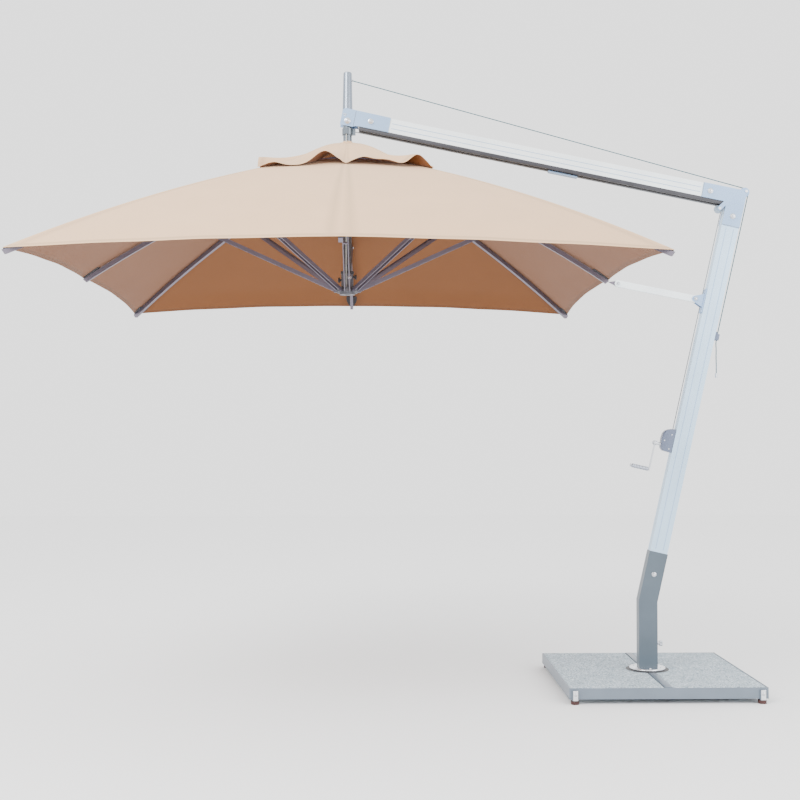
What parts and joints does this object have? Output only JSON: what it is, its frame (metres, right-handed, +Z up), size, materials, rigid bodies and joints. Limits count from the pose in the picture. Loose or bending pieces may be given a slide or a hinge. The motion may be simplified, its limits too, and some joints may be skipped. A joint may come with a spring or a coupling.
{
  "type": "patio umbrella with base",
  "caption": "Side-post patio umbrella: square canopy hung from a leaning mast and boom, with winch, tilt rope and a slab-weighted swivelling base.",
  "frame": {"origin": "on the ground, on the swivel axis of the mast", "axes": "+Z up; +X away from the canopy, towards the back of the mast; Y across, with the mast and boom in y = 0"},
  "size_m": [3.8209, 3.0142, 3.495],
  "materials": {
    "frame_metal": "satin",
    "concrete": "matte",
    "pad_rubber": "matte",
    "tube_metal": "satin",
    "plate_metal": "satin",
    "bolt_steel": "satin",
    "winch_metal": "satin",
    "grip_metal": "gloss",
    "dark_plastic": "matte",
    "rope": "matte",
    "cable": "satin",
    "damper_metal": "satin",
    "wheel_plastic": "satin",
    "hub_metal": "matte",
    "rib_metal": "satin",
    "canopy_cloth": "matte"
  },
  "bodies": {
    "base": {"base_frame": "frame_metal", "paving_slabs": "concrete", "foot_pads": "pad_rubber"},
    "mast": {"mast_foot": "tube_metal", "mast_tube": "tube_metal", "boom_tube": "tube_metal", "joint_plates": "plate_metal", "frame_bolts": "bolt_steel", "winch_housing": "winch_metal", "rope_cleat": "dark_plastic", "tilt_rope": "rope", "rope_tail": "rope", "rope_toggle": "dark_plastic", "winch_cable": "cable", "cable_damper": "damper_metal"},
    "swivel_lock": {"lock_knob": "dark_plastic"},
    "rear_wheel": {"rear_pulley": "wheel_plastic"},
    "inner_wheel": {"inner_pulley": "wheel_plastic"},
    "crank_arm": {"crank": "bolt_steel"},
    "grip": {"crank_grip": "grip_metal"},
    "drum": {"cable_drum": "bolt_steel"},
    "trolley": {"stay_trolley": "tube_metal"},
    "stay": {"stay_arm": "tube_metal"},
    "hanger": {"hanger_pole": "tube_metal", "pole_head": "plate_metal", "crown_hub": "hub_metal", "hub_cable": "cable"},
    "slider": {"lower_hub": "hub_metal"},
    "rib_body_000": {"rib_000": "rib_metal"},
    "strut_body_000": {"strut_000": "rib_metal"},
    "cloth_000_left": {"canopy_000_left": "canopy_cloth"},
    "cloth_000_right": {"canopy_000_right": "canopy_cloth"},
    "rib_body_045": {"rib_045": "rib_metal"},
    "strut_body_045": {"strut_045": "rib_metal"},
    "cloth_045_left": {"canopy_045_left": "canopy_cloth"},
    "cloth_045_right": {"canopy_045_right": "canopy_cloth"},
    "rib_body_090": {"rib_090": "rib_metal"},
    "strut_body_090": {"strut_090": "rib_metal"},
    "cloth_090_left": {"canopy_090_left": "canopy_cloth"},
    "cloth_090_right": {"canopy_090_right": "canopy_cloth"},
    "rib_body_135": {"rib_135": "rib_metal"},
    "strut_body_135": {"strut_135": "rib_metal"},
    "cloth_135_left": {"canopy_135_left": "canopy_cloth"},
    "cloth_135_right": {"canopy_135_right": "canopy_cloth"},
    "rib_body_180": {"rib_180": "rib_metal"},
    "strut_body_180": {"strut_180": "rib_metal"},
    "cloth_180_left": {"canopy_180_left": "canopy_cloth"},
    "cloth_180_right": {"canopy_180_right": "canopy_cloth"},
    "rib_body_225": {"rib_225": "rib_metal"},
    "strut_body_225": {"strut_225": "rib_metal"},
    "cloth_225_left": {"canopy_225_left": "canopy_cloth"},
    "cloth_225_right": {"canopy_225_right": "canopy_cloth"},
    "rib_body_270": {"rib_270": "rib_metal"},
    "strut_body_270": {"strut_270": "rib_metal"},
    "cloth_270_left": {"canopy_270_left": "canopy_cloth"},
    "cloth_270_right": {"canopy_270_right": "canopy_cloth"},
    "rib_body_315": {"rib_315": "rib_metal"},
    "strut_body_315": {"strut_315": "rib_metal"},
    "cloth_315_left": {"canopy_315_left": "canopy_cloth"},
    "cloth_315_right": {"canopy_315_right": "canopy_cloth"}
  },
  "joints": [
    {"name": "mast_swivel", "type": "hinge", "parent": "base", "child": "mast", "pos_m": [0, 0, 0.2], "axis": [0, 0, 1], "continuous": true},
    {"name": "lock_turn", "type": "hinge", "parent": "mast", "child": "swivel_lock", "pos_m": [0.07, 0, 0.232], "axis": [1, 0, 0], "range_deg": [0, 720]},
    {"name": "canopy_tilt", "type": "hinge", "parent": "mast", "child": "hanger", "pos_m": [-1.708, 0, 3.207], "axis": [0, 1, 0], "range_deg": [0, 25], "deforming": ["tilt_rope", "winch_cable"]},
    {"name": "canopy_fold", "type": "slide", "parent": "hanger", "child": "slider", "axis": [0, 0, -1], "range_m": [0, 1.1104], "deforming": ["canopy_000_left", "canopy_000_right", "canopy_045_left", "canopy_045_right", "canopy_090_left", "canopy_090_right", "canopy_135_left", "canopy_135_right", "canopy_180_left", "canopy_180_right", "canopy_225_left", "canopy_225_right", "canopy_270_left", "canopy_270_right", "canopy_315_left", "canopy_315_right", "hub_cable"]},
    {"name": "rear_wheel_turn", "type": "hinge", "parent": "mast", "child": "rear_wheel", "pos_m": [0.57876, 0, 2.81381], "axis": [0, 1, 0], "continuous": true},
    {"name": "inner_wheel_turn", "type": "hinge", "parent": "mast", "child": "inner_wheel", "pos_m": [0.42393, 0, 2.71547], "axis": [0, 1, 0], "continuous": true},
    {"name": "drum_turn", "type": "hinge", "parent": "mast", "child": "drum", "pos_m": [0.12149, 0, 1.39691], "axis": [0, 1, 0], "continuous": true},
    {"name": "crank_turn", "type": "hinge", "parent": "mast", "child": "crank_arm", "pos_m": [0.05434, 0, 1.37217], "axis": [-0.9751, 0, 0.2215], "continuous": true},
    {"name": "grip_spin", "type": "hinge", "parent": "crank_arm", "child": "grip", "pos_m": [0.01122, 0, 1.22302], "axis": [-0.9751, 0, 0.2215], "continuous": true},
    {"name": "trolley_slide", "type": "slide", "parent": "mast", "child": "trolley", "axis": [0.2215, 0, 0.9751], "range_m": [-0.07, 0.2]},
    {"name": "stay_swing", "type": "hinge", "parent": "trolley", "child": "stay", "pos_m": [0.286, 0, 2.197], "axis": [0, -1, 0], "range_deg": [0, 70]},
    {"name": "rib_fold_000", "type": "hinge", "parent": "hanger", "child": "rib_body_000", "pos_m": [-1.646, 0, 2.99], "axis": [0, 1, 0], "range_deg": [0, 60.74]},
    {"name": "strut_fold_000", "type": "hinge", "parent": "rib_body_000", "child": "strut_body_000", "pos_m": [-0.78874, 0, 2.6293], "axis": [0, 1, 0], "range_deg": [-119.98, 0]},
    {"name": "cloth_fold_000_left", "type": "hinge", "parent": "rib_body_000", "child": "cloth_000_left", "pos_m": [-1.646, 0, 3.0025], "axis": [0.8985, 0, -0.4389], "range_deg": [0, 65.07]},
    {"name": "cloth_fold_000_right", "type": "hinge", "parent": "rib_body_000", "child": "cloth_000_right", "pos_m": [-1.646, 0, 3.0025], "axis": [0.8985, 0, -0.4389], "range_deg": [-65.07, 0]},
    {"name": "rib_fold_045", "type": "hinge", "parent": "hanger", "child": "rib_body_045", "pos_m": [-1.66416, 0.04384, 2.99], "axis": [-0.7071, 0.7071, 0], "range_deg": [0, 63.11]},
    {"name": "strut_fold_045", "type": "hinge", "parent": "rib_body_045", "child": "strut_body_045", "pos_m": [-1.05683, 0.65117, 2.72955], "axis": [-0.7071, 0.7071, 0], "range_deg": [-114.36, 0]},
    {"name": "cloth_fold_045_left", "type": "hinge", "parent": "rib_body_045", "child": "cloth_045_left", "pos_m": [-1.66416, 0.04384, 3.0025], "axis": [0.6635, 0.6635, -0.3456], "range_deg": [0, 73.94]},
    {"name": "cloth_fold_045_right", "type": "hinge", "parent": "rib_body_045", "child": "cloth_045_right", "pos_m": [-1.66416, 0.04384, 3.0025], "axis": [0.6635, 0.6635, -0.3456], "range_deg": [-73.94, 0]},
    {"name": "rib_fold_090", "type": "hinge", "parent": "hanger", "child": "rib_body_090", "pos_m": [-1.708, 0.062, 2.99], "axis": [-1, 0, 0], "range_deg": [0, 60.74]},
    {"name": "strut_fold_090", "type": "hinge", "parent": "rib_body_090", "child": "strut_body_090", "pos_m": [-1.708, 0.91926, 2.6293], "axis": [-1, 0, 0], "range_deg": [-119.98, 0]},
    {"name": "cloth_fold_090_left", "type": "hinge", "parent": "rib_body_090", "child": "cloth_090_left", "pos_m": [-1.708, 0.062, 3.0025], "axis": [0, 0.8985, -0.4389], "range_deg": [0, 65.07]},
    {"name": "cloth_fold_090_right", "type": "hinge", "parent": "rib_body_090", "child": "cloth_090_right", "pos_m": [-1.708, 0.062, 3.0025], "axis": [0, 0.8985, -0.4389], "range_deg": [-65.07, 0]},
    {"name": "rib_fold_135", "type": "hinge", "parent": "hanger", "child": "rib_body_135", "pos_m": [-1.75184, 0.04384, 2.99], "axis": [-0.7071, -0.7071, 0], "range_deg": [0, 63.11]},
    {"name": "strut_fold_135", "type": "hinge", "parent": "rib_body_135", "child": "strut_body_135", "pos_m": [-2.35917, 0.65117, 2.72955], "axis": [-0.7071, -0.7071, 0], "range_deg": [-114.36, 0]},
    {"name": "cloth_fold_135_left", "type": "hinge", "parent": "rib_body_135", "child": "cloth_135_left", "pos_m": [-1.75184, 0.04384, 3.0025], "axis": [-0.6635, 0.6635, -0.3456], "range_deg": [0, 73.94]},
    {"name": "cloth_fold_135_right", "type": "hinge", "parent": "rib_body_135", "child": "cloth_135_right", "pos_m": [-1.75184, 0.04384, 3.0025], "axis": [-0.6635, 0.6635, -0.3456], "range_deg": [-73.94, 0]},
    {"name": "rib_fold_180", "type": "hinge", "parent": "hanger", "child": "rib_body_180", "pos_m": [-1.77, 0, 2.99], "axis": [0, -1, 0], "range_deg": [0, 60.74]},
    {"name": "strut_fold_180", "type": "hinge", "parent": "rib_body_180", "child": "strut_body_180", "pos_m": [-2.62726, 0, 2.6293], "axis": [0, -1, 0], "range_deg": [-119.98, 0]},
    {"name": "cloth_fold_180_left", "type": "hinge", "parent": "rib_body_180", "child": "cloth_180_left", "pos_m": [-1.77, 0, 3.0025], "axis": [-0.8985, 0, -0.4389], "range_deg": [0, 65.07]},
    {"name": "cloth_fold_180_right", "type": "hinge", "parent": "rib_body_180", "child": "cloth_180_right", "pos_m": [-1.77, 0, 3.0025], "axis": [-0.8985, 0, -0.4389], "range_deg": [-65.07, 0]},
    {"name": "rib_fold_225", "type": "hinge", "parent": "hanger", "child": "rib_body_225", "pos_m": [-1.75184, -0.04384, 2.99], "axis": [0.7071, -0.7071, 0], "range_deg": [0, 63.11]},
    {"name": "strut_fold_225", "type": "hinge", "parent": "rib_body_225", "child": "strut_body_225", "pos_m": [-2.35917, -0.65117, 2.72955], "axis": [0.7071, -0.7071, 0], "range_deg": [-114.36, 0]},
    {"name": "cloth_fold_225_left", "type": "hinge", "parent": "rib_body_225", "child": "cloth_225_left", "pos_m": [-1.75184, -0.04384, 3.0025], "axis": [-0.6635, -0.6635, -0.3456], "range_deg": [0, 73.94]},
    {"name": "cloth_fold_225_right", "type": "hinge", "parent": "rib_body_225", "child": "cloth_225_right", "pos_m": [-1.75184, -0.04384, 3.0025], "axis": [-0.6635, -0.6635, -0.3456], "range_deg": [-73.94, 0]},
    {"name": "rib_fold_270", "type": "hinge", "parent": "hanger", "child": "rib_body_270", "pos_m": [-1.708, -0.062, 2.99], "axis": [1, 0, 0], "range_deg": [0, 60.74]},
    {"name": "strut_fold_270", "type": "hinge", "parent": "rib_body_270", "child": "strut_body_270", "pos_m": [-1.708, -0.91926, 2.6293], "axis": [1, 0, 0], "range_deg": [-119.98, 0]},
    {"name": "cloth_fold_270_left", "type": "hinge", "parent": "rib_body_270", "child": "cloth_270_left", "pos_m": [-1.708, -0.062, 3.0025], "axis": [0, -0.8985, -0.4389], "range_deg": [0, 65.07]},
    {"name": "cloth_fold_270_right", "type": "hinge", "parent": "rib_body_270", "child": "cloth_270_right", "pos_m": [-1.708, -0.062, 3.0025], "axis": [0, -0.8985, -0.4389], "range_deg": [-65.07, 0]},
    {"name": "rib_fold_315", "type": "hinge", "parent": "hanger", "child": "rib_body_315", "pos_m": [-1.66416, -0.04384, 2.99], "axis": [0.7071, 0.7071, 0], "range_deg": [0, 63.11]},
    {"name": "strut_fold_315", "type": "hinge", "parent": "rib_body_315", "child": "strut_body_315", "pos_m": [-1.05683, -0.65117, 2.72955], "axis": [0.7071, 0.7071, 0], "range_deg": [-114.36, 0]},
    {"name": "cloth_fold_315_left", "type": "hinge", "parent": "rib_body_315", "child": "cloth_315_left", "pos_m": [-1.66416, -0.04384, 3.0025], "axis": [0.6635, -0.6635, -0.3456], "range_deg": [0, 73.94]},
    {"name": "cloth_fold_315_right", "type": "hinge", "parent": "rib_body_315", "child": "cloth_315_right", "pos_m": [-1.66416, -0.04384, 3.0025], "axis": [0.6635, -0.6635, -0.3456], "range_deg": [-73.94, 0]}
  ],
  "couplings": [
    {"joint": "rear_wheel_turn", "follows": "canopy_tilt", "ratio": 10.909},
    {"joint": "inner_wheel_turn", "follows": "canopy_fold", "rad_per_m": -55.556},
    {"joint": "drum_turn", "follows": "canopy_fold", "rad_per_m": -48.077},
    {"joint": "crank_turn", "follows": "canopy_fold", "rad_per_m": -192.31},
    {"joint": "rib_fold_000", "follows": "canopy_fold", "rad_per_m": 0.95436},
    {"joint": "strut_fold_000", "follows": "canopy_fold", "rad_per_m": -1.8856},
    {"joint": "cloth_fold_000_left", "follows": "canopy_fold", "rad_per_m": 1.0225},
    {"joint": "cloth_fold_000_right", "follows": "canopy_fold", "rad_per_m": -1.0225},
    {"joint": "rib_fold_045", "follows": "canopy_fold", "rad_per_m": 0.9916},
    {"joint": "strut_fold_045", "follows": "canopy_fold", "rad_per_m": -1.7972},
    {"joint": "cloth_fold_045_left", "follows": "canopy_fold", "rad_per_m": 1.1619},
    {"joint": "cloth_fold_045_right", "follows": "canopy_fold", "rad_per_m": -1.1619},
    {"joint": "rib_fold_090", "follows": "canopy_fold", "rad_per_m": 0.95436},
    {"joint": "strut_fold_090", "follows": "canopy_fold", "rad_per_m": -1.8856},
    {"joint": "cloth_fold_090_left", "follows": "canopy_fold", "rad_per_m": 1.0225},
    {"joint": "cloth_fold_090_right", "follows": "canopy_fold", "rad_per_m": -1.0225},
    {"joint": "rib_fold_135", "follows": "canopy_fold", "rad_per_m": 0.9916},
    {"joint": "strut_fold_135", "follows": "canopy_fold", "rad_per_m": -1.7972},
    {"joint": "cloth_fold_135_left", "follows": "canopy_fold", "rad_per_m": 1.1619},
    {"joint": "cloth_fold_135_right", "follows": "canopy_fold", "rad_per_m": -1.1619},
    {"joint": "rib_fold_180", "follows": "canopy_fold", "rad_per_m": 0.95436},
    {"joint": "strut_fold_180", "follows": "canopy_fold", "rad_per_m": -1.8856},
    {"joint": "cloth_fold_180_left", "follows": "canopy_fold", "rad_per_m": 1.0225},
    {"joint": "cloth_fold_180_right", "follows": "canopy_fold", "rad_per_m": -1.0225},
    {"joint": "rib_fold_225", "follows": "canopy_fold", "rad_per_m": 0.9916},
    {"joint": "strut_fold_225", "follows": "canopy_fold", "rad_per_m": -1.7972},
    {"joint": "cloth_fold_225_left", "follows": "canopy_fold", "rad_per_m": 1.1619},
    {"joint": "cloth_fold_225_right", "follows": "canopy_fold", "rad_per_m": -1.1619},
    {"joint": "rib_fold_270", "follows": "canopy_fold", "rad_per_m": 0.95436},
    {"joint": "strut_fold_270", "follows": "canopy_fold", "rad_per_m": -1.8856},
    {"joint": "cloth_fold_270_left", "follows": "canopy_fold", "rad_per_m": 1.0225},
    {"joint": "cloth_fold_270_right", "follows": "canopy_fold", "rad_per_m": -1.0225},
    {"joint": "rib_fold_315", "follows": "canopy_fold", "rad_per_m": 0.9916},
    {"joint": "strut_fold_315", "follows": "canopy_fold", "rad_per_m": -1.7972},
    {"joint": "cloth_fold_315_left", "follows": "canopy_fold", "rad_per_m": 1.1619},
    {"joint": "cloth_fold_315_right", "follows": "canopy_fold", "rad_per_m": -1.1619}
  ]
}
